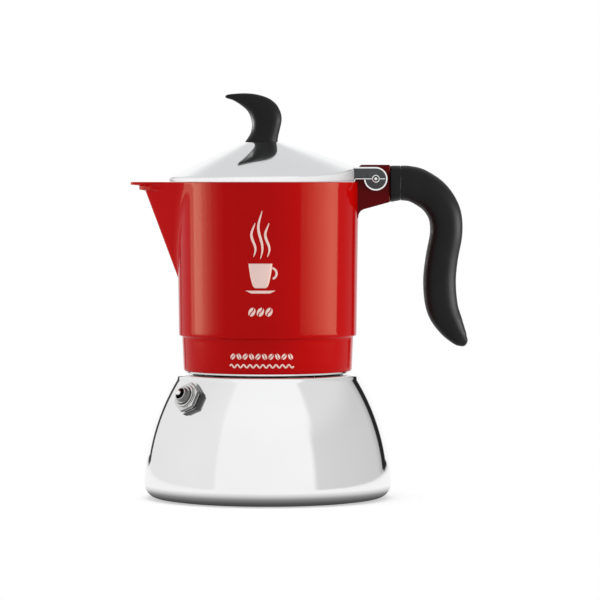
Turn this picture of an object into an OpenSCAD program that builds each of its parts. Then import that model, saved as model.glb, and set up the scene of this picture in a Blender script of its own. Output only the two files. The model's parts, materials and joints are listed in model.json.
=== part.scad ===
// Stove-top moka pot: flared steel boiler, cast collector, skewed-cone lid.
// Millimetres. +Z up, origin on the axis at the underside of the base,
// handle towards +X, spout towards -X.

/* [Boiler] */
// Widest radius of the flared bell
bell_r = 61.7; // [60:0.1:63]
// Radius of the long arc that makes the side of the bell
bell_arc_r = 110; // [105:1:120]
// Radius of the rolled bottom edge
bell_roll_r = 7; // [6:0.5:8]
// Height of the shoulder where the neck starts
shoulder_z = 62.2; // [61.5:0.1:62.5]
// Thickness of the drawn steel wall
shell_wall = 1.0; // [0.8:0.1:1.2]
// Height of the top of the threaded neck
neck_top_z = 75; // [74.5:0.1:75.2]
// Bore of the neck, as a radius
neck_bore_r = 34.8; // [34.7:0.1:34.9]
// Radius of the neck between the thread ridges
neck_root_r = 35.9; // [35.8:0.1:35.9]
// Pitch of the screw thread
thread_pitch = 3; // [2.5:0.25:3]

/* [Base disc] */
// Radius of the magnetic disc under the boiler
disc_r = 53; // [48:1:54]
// Thickness of the magnetic disc
disc_t = 3.4; // [2.5:0.1:4]

/* [Safety valve] */
// Direction of the valve around the axis, in degrees from +X
valve_azimuth = -137; // [-150:1:-120]
// Upward tilt of the valve axis, in degrees
valve_tilt = 25; // [22:1:28]
// Height of the valve centre on the wall
valve_z = 51.2; // [48:0.1:52]
// Distance across the flats of the valve hexagon
valve_flats = 13.4; // [12.6:0.2:14]

/* [Funnel] */
// Outer radius of the coffee basket
basket_r = 34.5; // [34:0.1:34.6]
// Height of the perforated bottom of the basket
screen_z = 54; // [50:1:58]
// Outer radius of the funnel stem
stem_r = 4.2; // [4:0.1:5]
// Height of the lower end of the stem
stem_end_z = 8; // [7:1:14]

/* [Seal and filter] */
// Thickness of the silicone gasket
gasket_t = 3; // [2.5:0.1:3.2]
// Inner radius of the gasket
gasket_bore_r = 30.5; // [29:0.5:32]
// Radius of the perforated filter plate
plate_r = 32.6; // [32.2:0.1:32.6]

/* [Collector] */
// Radius of the collar at its lower edge
collar_r = 42; // [41.6:0.1:42.6]
// Height of the step between collar and body
step_z = 81.2; // [80.5:0.1:82]
// Radius of the body just above the step
body_low_r = 44.4; // [43.8:0.1:45]
// Radius of the body at the rim
body_rim_r = 45.5; // [45:0.1:46]
// Height of the rim
rim_z = 158; // [154:0.5:158]
// Wall thickness of the casting
casting_wall = 2.8; // [2.4:0.1:3.2]
// Furthest reach of the pouring lip from the axis
spout_reach = 68.5; // [66:0.5:70]
// Height at which the spout leaves the wall
spout_foot_z = 110; // [100:1:120]
// Half the width of the spout where it meets the body
spout_half_w = 17; // [14:1:19]
// Height of the top of the coffee column
column_top_z = 147; // [135:1:150]

/* [Hinge] */
// Distance of the hinge pin from the axis
pin_x = 53.8; // [53.6:0.1:54.2]
// Height of the hinge pin
pin_z = 159.6; // [159.5:0.1:159.8]
// Radius of the hinge pin
pin_r = 1.5; // [1.3:0.1:1.8]
// Half the width of the casting lug between the lid ears
lug_half_w = 7; // [6:0.5:7.5]
// Thickness of each lid ear
ear_t = 2.5; // [2:0.1:3]
// Radius of the round end of each lid ear
ear_r = 5.9; // [5.5:0.1:6]

/* [Lid] */
// Outer radius of the lid, about its own centre
lid_r = 46.5; // [46.2:0.1:47]
// Offset of the lid's centre and of the knob from the axis, towards the spout
lid_offset = 2.5; // [2:0.1:3]
// Height of the flat top that carries the knob
lid_top_z = 178.2; // [177:0.1:179]
// Height of the lid along its hinge side
lid_back_z = 166; // [165:0.5:166.5]
// Thickness of the lid sheet
lid_t = 1.6; // [1.2:0.1:2]

/* [Handle] */
// Distance of the flat lug end, where the handle sleeve starts
lug_end_x = 61; // [60.8:0.1:61.5]
// Length of the sleeve between lug and grip
sleeve_l = 5.5; // [4:0.5:6]

/* [Hidden] */
$fn = 96;
eps = 0.01;
far = 200;

// Bell arc: its centre sits just above the base, so the wall is upright there.
bell_arc_z = 4;
bell_arc_x = bell_r + 0.06 - bell_arc_r;
roll_z = bell_roll_r + 0.4;
roll_x = bell_r - bell_roll_r;
shoulder_r = bell_arc_x + sqrt(pow(bell_arc_r, 2) - pow(shoulder_z - bell_arc_z, 2));
floor_z = disc_t + shell_wall;
inner_roll_r = bell_roll_r - shell_wall;

// Thread: ridge height, number of ridges and the first ridge's height.
ridge_h = 1.0;
ridge_count = 3;
ridge_first_z = shoulder_z + 3;
thread_gap = 0.3;
collar_bore_r = neck_root_r + ridge_h + thread_gap;

// Valve position on the bell wall.
valve_r = bell_arc_x + sqrt(pow(bell_arc_r, 2) - pow(valve_z - bell_arc_z, 2));
valve_pad_flats = 14.6;
valve_pad_out = 1.4;
valve_pad_in = -0.8 - shell_wall;
valve_hex_turn = -6;
valve_shank_r = 5;
valve_washer_r = 6.5;
valve_washer_t = 0.5;
valve_hex_t = 2.4;
valve_hex_z = valve_pad_out + valve_washer_t;
valve_boss_z = valve_hex_z + valve_hex_t;
valve_boss_t = 1.1;
valve_boss_r = 5.8;
valve_in_z = -9;
valve_seat_z = -7;
valve_bore_r = 3;
valve_insert_r = 4.5;
valve_insert_z = 3;
valve_nose_r = 3.5;
valve_nose_z = valve_boss_z + valve_boss_t + 2.6;
valve_recess_r = 2.7;
valve_pin_r = 1.3;
valve_pin_gap = 0.05;
valve_flange_t = 1.4;
valve_nut_t = 3;
valve_nut_flats = 13;
spring_wire_r = 0.3;
spring_mean_r = 2.15;
spring_turns = 6;

// Funnel, gasket and filter plate, stacked on the neck.
sheet_t = 0.8;
flange_r = 35.8;
flange_top_z = neck_top_z + sheet_t;
gasket_top_z = flange_top_z + gasket_t;
gasket_r = 35.9;
recess_r = 36.3;
recess_z = 73.9;
plate_t = 0.8;
plate_seat_r = 33;
plate_seat_z = gasket_top_z + plate_t + 0.6;
screen_r = basket_r - sheet_t;
hole_rings = 5;
screen_hole_step = 5.2;
screen_hole_r = 0.8;
plate_hole_step = 5.0;
plate_hole_r = 0.75;
stem_bore_r = stem_r - sheet_t;

// Collector casting.
collar_z = 63;
collar_top_r = collar_r + 0.8;
edge_r = 2;
column_seat_r = 6;
column_boss_z = 94.5;
column_bore_r = 3.9;
column_foot_z = 88.5;
column_tip_r = 5.2;
column_outlet_r = 2.4;
chamber_z = 85;
chamber_fillet = 4;
spout_tip_x = spout_reach - 7.5;
lip_t = 1.5;

// Hinge and lid.
lid_gap = 0.2;
lid_z = rim_z + lid_gap;
lid_edge_t = 2.2;
lid_cut_x = pin_x - 10.6;
lug_clear_r = 10.2;
lug_top_z = 166.6;
ear_gap = 0.25;
ear_y = lug_half_w + ear_gap;
knob_x = -lid_offset;
lid_seat_r = lid_r - 6;
knob_seat_r = 8.5;
screw_r = 2;

// Handle: tang of the casting and the grip's path.
tang_half_w = 4.5;
tang_low_z = 151.5;
tang_high_z = 160.5;
tang_end_x = 78;
grip_x = lug_end_x + sleeve_l;
sleeve_half_w = 8.9;
sleeve_corner_r = 6;
sleeve_low_z = 148.3;
sleeve_high_z = 166.8;
handle_screw_x = 72;
screw_head_r = 3.6;
screw_head_t = 1.6;
screw_seat_t = 1.3;
head_well_r = 3.9;

// Stations of a swept form: [x, z, half thickness in the XZ plane, half width along Y].
grip_stations = [
    [grip_x, 157.5, 8.8, 9.3],
    [70, 157.3, 8.9, 9.4],
    [75.3, 155.7, 9.1, 9.5],
    [83, 150.7, 8.7, 9.4],
    [88.2, 142.5, 8.3, 9.2],
    [89.2, 132.5, 8.1, 9.0],
    [87, 120, 8.1, 9.0],
    [85.9, 108, 8.2, 9.0],
    [87.2, 95.5, 8.0, 8.6],
    [91.3, 86.7, 6.7, 7.4],
    [95.6, 80.4, 4.6, 5.2],
    [98, 77.9, 3.0, 3.2],
    [99.3, 76.7, 1.2, 1.3]
];

// Stations of a lofted form: [x, z] on one side of the section, [x, z] on the other, half width along Y.
knob_stations = [
    [-11.3, lid_top_z, 5.05, lid_top_z, 6.5],
    [-9.9, 180.2, 5.3, 180.5, 6.45],
    [-8.5, 182.9, 6.1, 184, 6.4],
    [-7.95, 186.5, 7.0, 188.2, 6.3],
    [-8.4, 189.5, 6.9, 191.5, 6.15],
    [-9.3, 192, 5.9, 194.4, 6.0],
    [-10.6, 193.9, 4.0, 197.3, 5.7],
    [-12.6, 195.7, 0.3, 200.0, 5.1],
    [-15, 197.4, -5.5, 201.8, 4.1],
    [-17.5, 198.8, -11.5, 202.35, 3.0],
    [-19.6, 199.6, -16.8, 202.05, 2.0],
    [-21.0, 200.1, -20.0, 201.4, 1.0]
];

// ---- helpers ----

// One value of a Catmull-Rom curve through four numbers.
function spline(a, b, c, d, t) =
    0.5 * (2 * b + (c - a) * t + (2 * a - 5 * b + 4 * c - d) * t * t
        + (3 * b - a - 3 * c + d) * t * t * t);

// Stations with steps smooth values between each given pair.
function smooth(list, steps) = [
    for (i = [0 : len(list) - 2])
        for (s = [0 : (i == len(list) - 2) ? steps : steps - 1])
            spline(list[max(i - 1, 0)], list[i], list[i + 1], list[min(i + 2, len(list) - 1)], s / steps)
];

// Direction of travel at station i, in the XZ plane; start is the direction at the first one.
function heading(list, i, start) =
    let (d = list[min(i + 1, len(list) - 1)] - list[max(i - 1, 0)])
    (i == 0) ? start : [d[0], d[1]] / norm([d[0], d[1]]);

// Triangles of a tube of rings, with a flat face at each end.
function tube_faces(rings, sides) = concat(
    [[for (k = [sides - 1 : -1 : 0]) k]],
    [for (i = [0 : rings - 2]) for (k = [0 : sides - 1])
        [i * sides + k, i * sides + (k + 1) % sides, (i + 1) * sides + k]],
    [for (i = [0 : rings - 2]) for (k = [0 : sides - 1])
        [i * sides + (k + 1) % sides, (i + 1) * sides + (k + 1) % sides, (i + 1) * sides + k]],
    [[for (k = [0 : sides - 1]) (rings - 1) * sides + k]]
);

// A closed form of oval sections along a path in the XZ plane. Its first face is square to start.
module swept(list, steps, sides, start) {
    path = smooth(list, steps);
    points = [
        for (i = [0 : len(path) - 1])
            for (k = [0 : sides - 1])
                let (
                    h = heading(path, i, start),
                    a = 360 * k / sides,
                    u = path[i][2] * cos(a)
                )
                [path[i][0] + h[1] * u, path[i][3] * sin(a), path[i][1] - h[0] * u]
    ];
    polyhedron(points, tube_faces(len(path), sides), convexity = 6);
}

// A closed form of oval sections, each between two points in the XZ plane.
module lofted(list, steps, sides) {
    path = smooth(list, steps);
    points = [
        for (s = path)
            for (k = [0 : sides - 1])
                let (
                    a = 360 * k / sides,
                    t = (1 + cos(a)) / 2
                )
                [s[0] + (s[2] - s[0]) * t, s[4] * sin(a), s[1] + (s[3] - s[1]) * t]
    ];
    polyhedron(points, tube_faces(len(path), sides), convexity = 6);
}

// A closed coil of round wire about +Z.
module coil(mean_r, wire_r, z0, z1, turns, per_turn, sides) {
    count = turns * per_turn;
    points = [
        for (i = [0 : count])
            for (k = [0 : sides - 1])
                let (
                    a = 360 * i / per_turn,
                    b = 360 * k / sides,
                    r = mean_r + wire_r * cos(b)
                )
                [r * cos(a), r * sin(a), z0 + (z1 - z0) * i / count - wire_r * sin(b)]
    ];
    polyhedron(points, tube_faces(count + 1, sides), convexity = 10);
}

// Puts children on the safety valve's axis, with z = 0 at the outside of the wall.
module on_valve_axis() {
    rotate([0, 0, valve_azimuth])
        translate([valve_r, 0, valve_z])
            rotate([0, 90 - valve_tilt, 0])
                children();
}

// A ring of round bar stock: outer radius, inner radius, from z0 to z1.
module ring(outer_r, inner_r, z0, z1) {
    translate([0, 0, z0])
        difference() {
            cylinder(r = outer_r, h = z1 - z0);
            translate([0, 0, -1])
                cylinder(r = inner_r, h = z1 - z0 + 2);
        }
}

// Rings of round holes, 6 more in each, as one flat outline.
module hole_pattern(rings, step, hole_r) {
    circle(r = hole_r);
    for (n = [1 : rings])
        for (k = [0 : 6 * n - 1])
            rotate(360 * k / (6 * n))
                translate([n * step, 0])
                    circle(r = hole_r);
}

// A hexagonal prism by its distance across flats.
module hexagon(flats, h) {
    cylinder(r = flats / sqrt(3), h = h, $fn = 6);
}

// A thread ridge's outline, pointing away from the axis.
module ridge_outline(root_r, height) {
    polygon([[root_r - 0.5, -1.2], [root_r, -1.2], [root_r + height, -0.4],
        [root_r + height, 0.4], [root_r, 1.2], [root_r - 0.5, 1.2]]);
}

// ---- boiler ----

module bell_outline() {
    intersection() {
        translate([bell_arc_x, bell_arc_z])
            circle(r = bell_arc_r);
        translate([0, roll_z])
            square([bell_r + 1, shoulder_z - roll_z - 1.4]);
    }
    translate([0, shoulder_z - 2])
        square([shoulder_r - 0.9, 2]);
    translate([shoulder_r - 0.9, shoulder_z - 1.5])
        circle(r = 1.5);
    translate([roll_x, roll_z])
        circle(r = bell_roll_r);
    translate([0, roll_z - bell_roll_r])
        square([roll_x, bell_roll_r + 1]);
}

module bell_inside() {
    intersection() {
        translate([bell_arc_x, bell_arc_z])
            circle(r = bell_arc_r - shell_wall);
        translate([0, floor_z + inner_roll_r])
            square([bell_r, shoulder_z - shell_wall - floor_z - inner_roll_r]);
    }
    translate([roll_x, floor_z + inner_roll_r])
        circle(r = inner_roll_r - 0.05);
    translate([0, floor_z])
        square([roll_x, inner_roll_r + 1]);
}

module neck_outline() {
    translate([neck_bore_r, shoulder_z - shell_wall])
        square([neck_root_r - neck_bore_r, neck_top_z - shoulder_z + shell_wall]);
    for (i = [0 : ridge_count - 1])
        translate([0, ridge_first_z + i * thread_pitch])
            ridge_outline(neck_root_r, ridge_h);
}

module boiler_shell() {
    color("silver")
        difference() {
            union() {
                rotate_extrude()
                    difference() {
                        union() {
                            bell_outline();
                            neck_outline();
                        }
                        bell_inside();
                        translate([-1, floor_z + 1])
                            square([neck_bore_r + 1, far]);
                        translate([-1, -1])
                            square([disc_r + 1, disc_t + 1]);
                    }
                on_valve_axis()
                    translate([0, 0, valve_pad_in])
                        rotate([0, 0, valve_hex_turn])
                            hexagon(valve_pad_flats, valve_pad_out - valve_pad_in);
            }
            on_valve_axis()
                translate([0, 0, -10])
                    cylinder(r = valve_shank_r, h = 20);
        }
}

module base_disc() {
    color("gray")
        difference() {
            cylinder(r = disc_r, h = disc_t);
            rotate_extrude()
                translate([disc_r + 0.2, -0.2])
                    circle(r = 0.8);
        }
}

// ---- safety valve ----

module valve_body() {
    color("silver")
        on_valve_axis()
            difference() {
                union() {
                    translate([0, 0, valve_in_z])
                        cylinder(r = valve_shank_r, h = valve_hex_z - valve_in_z);
                    intersection() {
                        translate([0, 0, valve_hex_z])
                            rotate([0, 0, valve_hex_turn])
                                hexagon(valve_flats, valve_hex_t);
                        translate([0, 0, valve_hex_z - 1])
                            cylinder(
                            r1 = valve_flats / 2 + 4.1, r2 = valve_flats / 2 - 0.1,
                            h = valve_hex_t + 1);
                    }
                    translate([0, 0, valve_boss_z - eps])
                        cylinder(r = valve_boss_r, h = valve_boss_t + eps);
                }
                translate([0, 0, valve_seat_z])
                    cylinder(r = valve_bore_r, h = far);
                translate([0, 0, valve_insert_z])
                    cylinder(r = valve_insert_r, h = far);
                translate([0, 0, valve_in_z - 1])
                    cylinder(r = valve_pin_r + 0.4, h = 20);
            }
}

module valve_washer() {
    color("dimgray")
        on_valve_axis()
            ring(valve_washer_r, valve_shank_r, valve_pad_out, valve_hex_z);
}

module valve_nut() {
    color("silver")
        on_valve_axis()
            translate([0, 0, valve_pad_in - valve_nut_t])
                difference() {
                    hexagon(valve_nut_flats, valve_nut_t);
                    translate([0, 0, -1])
                        cylinder(r = valve_shank_r, h = valve_nut_t + 2);
                }
}

module valve_nozzle() {
    color("silver")
        on_valve_axis()
            difference() {
                union() {
                    translate([0, 0, valve_insert_z])
                        cylinder(r = valve_insert_r,
                            h = valve_boss_z + valve_boss_t + 0.6 - valve_insert_z);
                    translate([0, 0, valve_insert_z + 1])
                        cylinder(r = valve_nose_r, h = valve_nose_z - valve_insert_z - 1.6);
                    translate([0, 0, valve_nose_z - 0.6 - eps])
                        cylinder(r1 = valve_nose_r, r2 = valve_nose_r - 0.6, h = 0.6 + eps);
                }
                translate([0, 0, valve_insert_z - 1])
                    cylinder(r = valve_pin_r + valve_pin_gap, h = 20);
                translate([0, 0, valve_nose_z - 1.8])
                    cylinder(r = valve_recess_r, h = 3);
            }
}

module valve_pin() {
    color("gainsboro")
        on_valve_axis() {
            translate([0, 0, valve_seat_z])
                cylinder(r = valve_bore_r - 0.3, h = valve_flange_t);
            translate([0, 0, valve_seat_z])
                cylinder(r = valve_pin_r, h = valve_nose_z + 1.2 - valve_seat_z);
            translate([0, 0, valve_nose_z + 1.2])
                sphere(r = valve_pin_r);
        }
}

module valve_spring() {
    color("silver")
        on_valve_axis()
            coil(spring_mean_r, spring_wire_r, valve_seat_z + valve_flange_t + spring_wire_r + 0.05,
                valve_insert_z - spring_wire_r - 0.05, spring_turns, 16, 8);
}

// ---- funnel ----

module funnel_basket() {
    color("lightgray")
        rotate_extrude()
            difference() {
                union() {
                    polygon([[0, screen_z - 9], [stem_r + sheet_t, screen_z - 9],
                        [stem_r + sheet_t, screen_z - 4],
                        [basket_r - 3, screen_z - sheet_t], [basket_r - 0.8, screen_z - sheet_t],
                        [basket_r, screen_z], [basket_r, flange_top_z], [0, flange_top_z]]);
                    translate([0, neck_top_z])
                        square([flange_r, sheet_t]);
                }
                polygon([[0, screen_z - 10], [stem_r, screen_z - 10], [stem_r, screen_z - 3.4],
                    [screen_r - 2.6, screen_z], [screen_r, screen_z], [screen_r, flange_top_z + 1],
                    [0, flange_top_z + 1]]);
            }
}

module funnel_stem() {
    color("lightgray")
        ring(stem_r, stem_bore_r, stem_end_z, screen_z - 4);
}

module funnel_screen() {
    color("silver")
        translate([0, 0, screen_z])
            linear_extrude(0.6)
                difference() {
                    circle(r = screen_r);
                    hole_pattern(hole_rings, screen_hole_step, screen_hole_r);
                }
}

// ---- seal and filter ----

module gasket() {
    color("whitesmoke")
        ring(gasket_r, gasket_bore_r, flange_top_z, gasket_top_z);
}

module filter_plate() {
    color("silver")
        translate([0, 0, gasket_top_z])
            linear_extrude(plate_t)
                difference() {
                    circle(r = plate_r);
                    hole_pattern(hole_rings, plate_hole_step, plate_hole_r);
                }
}

// ---- collector ----

module collector_outline() {
    polygon([[0, collar_z], [collar_r - 0.4, collar_z], [collar_r, collar_z + 0.4],
        [collar_top_r, step_z + 1], [0, step_z + 1]]);
    translate([body_low_r - edge_r, step_z + edge_r])
        circle(r = edge_r);
    translate([0, step_z])
        square([body_low_r - edge_r, edge_r]);
    polygon([[0, step_z + edge_r], [body_low_r, step_z + edge_r], [body_rim_r, rim_z], [0, rim_z]]);
}

// The coffee chamber above the floor of the casting.
module chamber_outline() {
    low_r = body_low_r - casting_wall;
    polygon([[0, chamber_z + chamber_fillet], [low_r, chamber_z + chamber_fillet],
        [body_rim_r - casting_wall, rim_z + 1], [0, rim_z + 1]]);
    translate([low_r - chamber_fillet, chamber_z + chamber_fillet])
        circle(r = chamber_fillet);
    polygon([[0, chamber_z + 6], [low_r - chamber_fillet, chamber_z + 6],
        [low_r - chamber_fillet, chamber_z], [column_seat_r + 5, column_boss_z - 3],
        [column_seat_r + 3, column_boss_z], [0, column_boss_z]]);
}

// The threaded socket, gasket recess and funnel-shaped space under the floor.
module socket_outline() {
    translate([-1, 0])
        square([collar_bore_r + 1, recess_z]);
    for (i = [0 : ridge_count - 1])
        translate([0, ridge_first_z + i * thread_pitch])
            ridge_outline(collar_bore_r, ridge_h - 0.2);
    translate([-1, 0])
        square([recess_r + 1, gasket_top_z]);
    translate([-1, 0])
        square([plate_seat_r + 1, plate_seat_z]);
    polygon([[-1, plate_seat_z - 1], [plate_seat_r - 2, plate_seat_z - 1],
        [plate_seat_r - 2, plate_seat_z], [column_seat_r, 89], [-1, 89]]);
    translate([-1, 0])
        square([column_seat_r + 1, far]);
}

module spout_form(inset) {
    hull() {
        translate([-spout_tip_x + inset, 0, rim_z - 1 + inset])
            cylinder(r = 1.6, h = 1, $fn = 24);
        for (side = [-1, 1])
            translate([-body_rim_r + 5.5 + inset, side * (spout_half_w - inset), rim_z - 1 + inset])
                cylinder(r = 1.6, h = 1, $fn = 24);
        translate([-body_low_r + 1.6 + inset, 0, spout_foot_z])
            cylinder(r = 1.6, h = 1, $fn = 24);
        translate([-body_low_r + 12, 0, spout_foot_z])
            cylinder(r = 1.6, h = 1, $fn = 24);
    }
}

module pouring_lip() {
    hull() {
        translate([-spout_reach + 1.2, 0, rim_z - lip_t])
            cylinder(r = 1.2, h = lip_t, $fn = 24);
        for (side = [-1, 1])
            translate([-spout_tip_x + 6, side * 5, rim_z - lip_t - 2.5])
                cylinder(r = 1.6, h = lip_t + 2.5, $fn = 24);
    }
}

module lug_outline() {
    polygon([[40, 141.8], [body_rim_r - 1, 143.2], [47.5, 144.9],
        [lug_end_x, 148], [lug_end_x, rim_z], [40, rim_z]]);
    intersection() {
        translate([40, rim_z - 1])
            square([lug_end_x - 40, lug_top_z - rim_z + 1]);
        translate([pin_x, pin_z])
            circle(r = lug_clear_r);
    }
    translate([lug_end_x - 2, tang_low_z])
        square([tang_end_x - lug_end_x + 2, tang_high_z - tang_low_z]);
}

module lug() {
    rotate([90, 0, 0])
        translate([0, 0, -lug_half_w])
            linear_extrude(2 * lug_half_w)
                intersection() {
                    lug_outline();
                    translate([0, 100])
                        square([lug_end_x, 100]);
                }
    rotate([90, 0, 0])
        translate([0, 0, -tang_half_w])
            linear_extrude(2 * tang_half_w)
                intersection() {
                    lug_outline();
                    translate([lug_end_x - 1, tang_low_z])
                        square([far, tang_high_z - tang_low_z]);
                }
}

module collector() {
    color("firebrick")
        difference() {
            union() {
                rotate_extrude()
                    collector_outline();
                spout_form(0);
                pouring_lip();
                lug();
            }
            rotate_extrude()
                intersection() {
                    union() {
                        chamber_outline();
                        socket_outline();
                    }
                    square([far, far]);
                }
            spout_form(2.2);
            hull() {
                translate([-spout_tip_x + 2.4, 0, rim_z - 2])
                    cylinder(r = 1.5, h = 4, $fn = 24);
                translate([-spout_reach + 2.6, 0, rim_z - 0.7])
                    cylinder(r = 0.7, h = 2, $fn = 24);
            }
            translate([pin_x, 0, pin_z])
                rotate([90, 0, 0])
                    cylinder(r = pin_r + 0.05, h = 40, center = true);
            translate([handle_screw_x, 0, tang_low_z - 1])
                cylinder(r = screw_r, h = 7);
        }
}

module coffee_column() {
    color("lightgray")
        difference() {
            union() {
                translate([0, 0, column_foot_z])
                    cylinder(r = column_seat_r, h = column_boss_z - column_foot_z);
                translate([0, 0, column_boss_z])
                    cylinder(r = column_seat_r + 1.4, h = 1.2);
                translate([0, 0, column_boss_z])
                    cylinder(r1 = column_seat_r - 0.2, r2 = column_tip_r,
                        h = column_top_z - column_boss_z - 2);
                intersection() {
                    translate([0, 0, column_top_z - column_seat_r])
                        sphere(r = column_seat_r);
                    translate([0, 0, column_top_z - 2.2])
                        cylinder(r = column_tip_r, h = 3);
                }
            }
            translate([0, 0, column_foot_z - 1])
                cylinder(r = column_bore_r, h = column_top_z - column_foot_z - 1.5);
            for (side = [0, 180])
                rotate([0, 0, side])
                    translate([0, 0, column_top_z - 7])
                        rotate([-90, 0, 0])
                            cylinder(r = column_outlet_r, h = 10);
        }
}

// ---- handle ----

module rounded_block(x0, x1, half_w, z0, z1, corner) {
    rotate([90, 0, 90])
        translate([0, 0, x0])
            linear_extrude(x1 - x0)
                union() {
                    for (y = [-half_w + corner, half_w - corner])
                        for (z = [z0 + corner, z1 - corner])
                            translate([y, z])
                                circle(r = corner);
                    translate([-half_w + corner, z0])
                        square([2 * (half_w - corner), z1 - z0]);
                    translate([-half_w, z0 + corner])
                        square([2 * half_w, z1 - z0 - 2 * corner]);
                }
}

module tang_space() {
    translate([0, -tang_half_w, tang_low_z])
        cube([tang_end_x, 2 * tang_half_w, tang_high_z - tang_low_z]);
}

module handle_sleeve() {
    color([0.1, 0.1, 0.1])
        difference() {
            rounded_block(lug_end_x, grip_x, sleeve_half_w,
                sleeve_low_z, sleeve_high_z, sleeve_corner_r);
            tang_space();
        }
}

module handle_grip() {
    color([0.12, 0.12, 0.12])
        difference() {
            swept(grip_stations, 3, 20, [1, 0]);
            tang_space();
            translate([handle_screw_x, 0, tang_low_z - 20])
                cylinder(r = screw_r, h = 21);
            translate([handle_screw_x, 0, tang_low_z - 20])
                cylinder(r = head_well_r, h = 20 - screw_seat_t);
        }
}

module handle_screw() {
    color("silver")
        translate([handle_screw_x, 0, tang_low_z - screw_seat_t]) {
            cylinder(r = screw_r, h = 6 + screw_seat_t);
            translate([0, 0, -screw_head_t])
                difference() {
                    cylinder(r = screw_head_r, h = screw_head_t);
                    translate([-0.5, -3, -0.2])
                        cube([1, 6, 0.9]);
                }
        }
}

// ---- lid ----

// The lid's skewed cone, let in by t on the outside.
module lid_form(t) {
    hull() {
        translate([knob_x, 0, lid_z - t])
            cylinder(r = (t == 0) ? lid_r : lid_seat_r, h = lid_edge_t);
        translate([28, -ear_y - ear_t + t, lid_z])
            cube([lid_cut_x - 28 - 1.5 * t, 2 * (ear_y + ear_t - t), lid_back_z - lid_z - t]);
        translate([knob_x, 0, lid_top_z - 1 - t])
            cylinder(r = knob_seat_r - t, h = 1);
    }
}

module ear() {
    rotate([90, 0, 0])
        linear_extrude(ear_t) {
            translate([pin_x, pin_z])
                circle(r = ear_r);
            translate([lid_cut_x - 4, pin_z - 0.2])
                square([pin_x - lid_cut_x + 4, ear_r + 0.2]);
        }
}

module lid() {
    color("gainsboro")
        difference() {
            union() {
                difference() {
                    lid_form(0);
                    lid_form(lid_t);
                    translate([lid_cut_x, -ear_y, 0])
                        cube([far, 2 * ear_y, far]);
                }
                translate([0, -ear_y, 0])
                    ear();
                translate([0, ear_y + ear_t, 0])
                    ear();
            }
            translate([pin_x, 0, pin_z])
                rotate([90, 0, 0])
                    cylinder(r = pin_r, h = 40, center = true);
            translate([knob_x, 0, lid_top_z - 20])
                cylinder(r = screw_r, h = 30);
        }
}

module hinge_pin() {
    color("silver")
        translate([pin_x, 0, pin_z])
            rotate([90, 0, 0]) {
                cylinder(r = pin_r, h = 2 * (ear_y + ear_t), center = true);
                translate([0, 0, ear_y + ear_t])
                    cylinder(r1 = 2.1, r2 = 1.5, h = 0.9);
                translate([0, 0, -ear_y - ear_t - 0.9])
                    cylinder(r1 = 1.5, r2 = 2.1, h = 0.9);
            }
}

module knob() {
    color([0.12, 0.12, 0.12])
        difference() {
            lofted(knob_stations, 3, 20);
            translate([knob_x, 0, lid_top_z - 1])
                cylinder(r = screw_r, h = 10);
        }
}

module knob_washer() {
    color("silver")
        translate([knob_x, 0, 0])
            ring(4.5, screw_r, lid_top_z - lid_t - 0.8, lid_top_z - lid_t);
}

module knob_screw() {
    color("silver")
        translate([knob_x, 0, lid_top_z - lid_t - 0.8]) {
            cylinder(r = screw_r, h = 11);
            translate([0, 0, -2.4])
                difference() {
                    cylinder(r = 3.7, h = 2.4);
                    translate([-3, -0.5, -0.2])
                        cube([6, 1, 1.2]);
                }
        }
}

boiler_shell();
base_disc();
valve_body();
valve_washer();
valve_nut();
valve_nozzle();
valve_spring();
valve_pin();
funnel_basket();
funnel_stem();
funnel_screen();
gasket();
filter_plate();
collector();
coffee_column();
handle_sleeve();
handle_grip();
handle_screw();
lid();
hinge_pin();
knob();
knob_washer();
knob_screw();
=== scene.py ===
"""The moka pot's looks: meshes, materials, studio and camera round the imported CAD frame."""
import json
import math

import bmesh
import bpy
from mathutils import Matrix, Vector


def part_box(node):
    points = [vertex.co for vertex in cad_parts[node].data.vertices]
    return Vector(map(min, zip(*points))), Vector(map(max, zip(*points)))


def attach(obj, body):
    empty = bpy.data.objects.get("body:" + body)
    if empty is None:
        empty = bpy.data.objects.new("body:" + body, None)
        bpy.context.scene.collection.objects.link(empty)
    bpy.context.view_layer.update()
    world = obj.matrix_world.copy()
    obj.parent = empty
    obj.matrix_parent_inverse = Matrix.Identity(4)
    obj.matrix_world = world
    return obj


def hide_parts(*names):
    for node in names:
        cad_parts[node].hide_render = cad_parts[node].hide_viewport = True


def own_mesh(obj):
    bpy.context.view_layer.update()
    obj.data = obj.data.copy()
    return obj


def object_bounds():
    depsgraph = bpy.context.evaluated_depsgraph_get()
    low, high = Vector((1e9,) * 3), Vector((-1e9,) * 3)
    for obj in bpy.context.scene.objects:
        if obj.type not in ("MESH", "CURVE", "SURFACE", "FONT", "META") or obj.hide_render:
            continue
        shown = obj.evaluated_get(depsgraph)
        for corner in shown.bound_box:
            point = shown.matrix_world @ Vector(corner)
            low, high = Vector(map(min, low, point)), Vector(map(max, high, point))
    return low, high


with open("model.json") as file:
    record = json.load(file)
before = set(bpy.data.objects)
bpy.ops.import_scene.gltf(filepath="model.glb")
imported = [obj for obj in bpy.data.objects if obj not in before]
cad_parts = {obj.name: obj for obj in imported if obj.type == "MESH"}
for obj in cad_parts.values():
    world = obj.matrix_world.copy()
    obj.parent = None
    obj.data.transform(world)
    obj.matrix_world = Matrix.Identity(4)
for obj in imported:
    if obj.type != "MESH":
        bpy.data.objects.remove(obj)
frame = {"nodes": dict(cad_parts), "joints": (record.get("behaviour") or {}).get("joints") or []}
cad_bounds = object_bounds()

MM = 0.001
TAU = 2 * math.pi


# ---- the frame

def joint(name):
    """A joint of the frame, by its name."""
    return next(j for j in frame["joints"] if j["name"] == name)


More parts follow.
